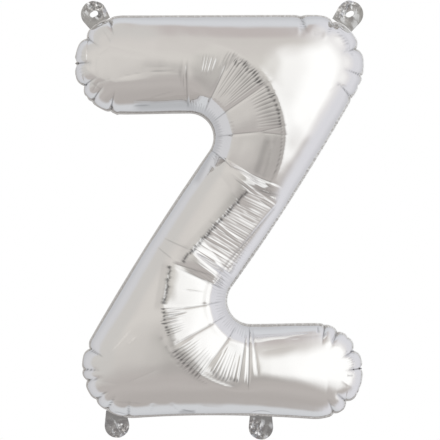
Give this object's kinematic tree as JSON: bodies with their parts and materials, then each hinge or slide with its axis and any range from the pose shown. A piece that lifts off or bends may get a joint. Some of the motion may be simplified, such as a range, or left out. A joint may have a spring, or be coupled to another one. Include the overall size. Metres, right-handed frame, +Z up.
{
  "type": "letter foil balloon",
  "caption": "Air-filled mirror foil balloon in the shape of a letter Z, with fold-over tabs on its seam to hang or tie it by.",
  "frame": {"origin": "midway between the hanging holes of the two upper tabs, on the seam plane", "axes": "+Z up the letter, +X to the right as the letter is read, and the front faces -Y"},
  "size_m": [0.2481, 0.0954, 0.3774],
  "materials": {
    "mirror_film": "mirror-bright metallised film, crimped at its creases",
    "tab_film": "doubled metallised film, crumpled"
  },
  "bodies": {
    "envelope": {"front_panel": "mirror_film", "back_panel": "mirror_film", "seam_flange": "mirror_film"},
    "left_tab": {"hanging_tab_left": "tab_film"},
    "right_tab": {"hanging_tab_right": "tab_film"},
    "lower_left_tab": {"lower_tab": "tab_film"},
    "valve_tab": {"filling_tab": "tab_film"}
  },
  "joints": [
    {"name": "left_tab_fold", "type": "hinge", "parent": "envelope", "child": "left_tab", "pos_m": [-0.10591, 0, -0.00652], "axis": [0.8669, 0, 0.4985], "range_deg": [-90, 90], "stiffness_Nm_per_rad": 0.00005},
    {"name": "right_tab_fold", "type": "hinge", "parent": "envelope", "child": "right_tab", "pos_m": [0.10419, 0, -0.00826], "axis": [0.8192, 0, -0.5736], "range_deg": [-90, 90], "stiffness_Nm_per_rad": 0.00005},
    {"name": "lower_tab_fold", "type": "hinge", "parent": "envelope", "child": "lower_left_tab", "pos_m": [-0.09104, 0, -0.34602], "axis": [-0.9455, 0, 0.3256], "range_deg": [-90, 90], "stiffness_Nm_per_rad": 0.00005},
    {"name": "filling_tab_fold", "type": "hinge", "parent": "envelope", "child": "valve_tab", "pos_m": [0.0335, 0, -0.34705], "axis": [-1, 0, 0], "range_deg": [-90, 90], "stiffness_Nm_per_rad": 0.00005}
  ]
}
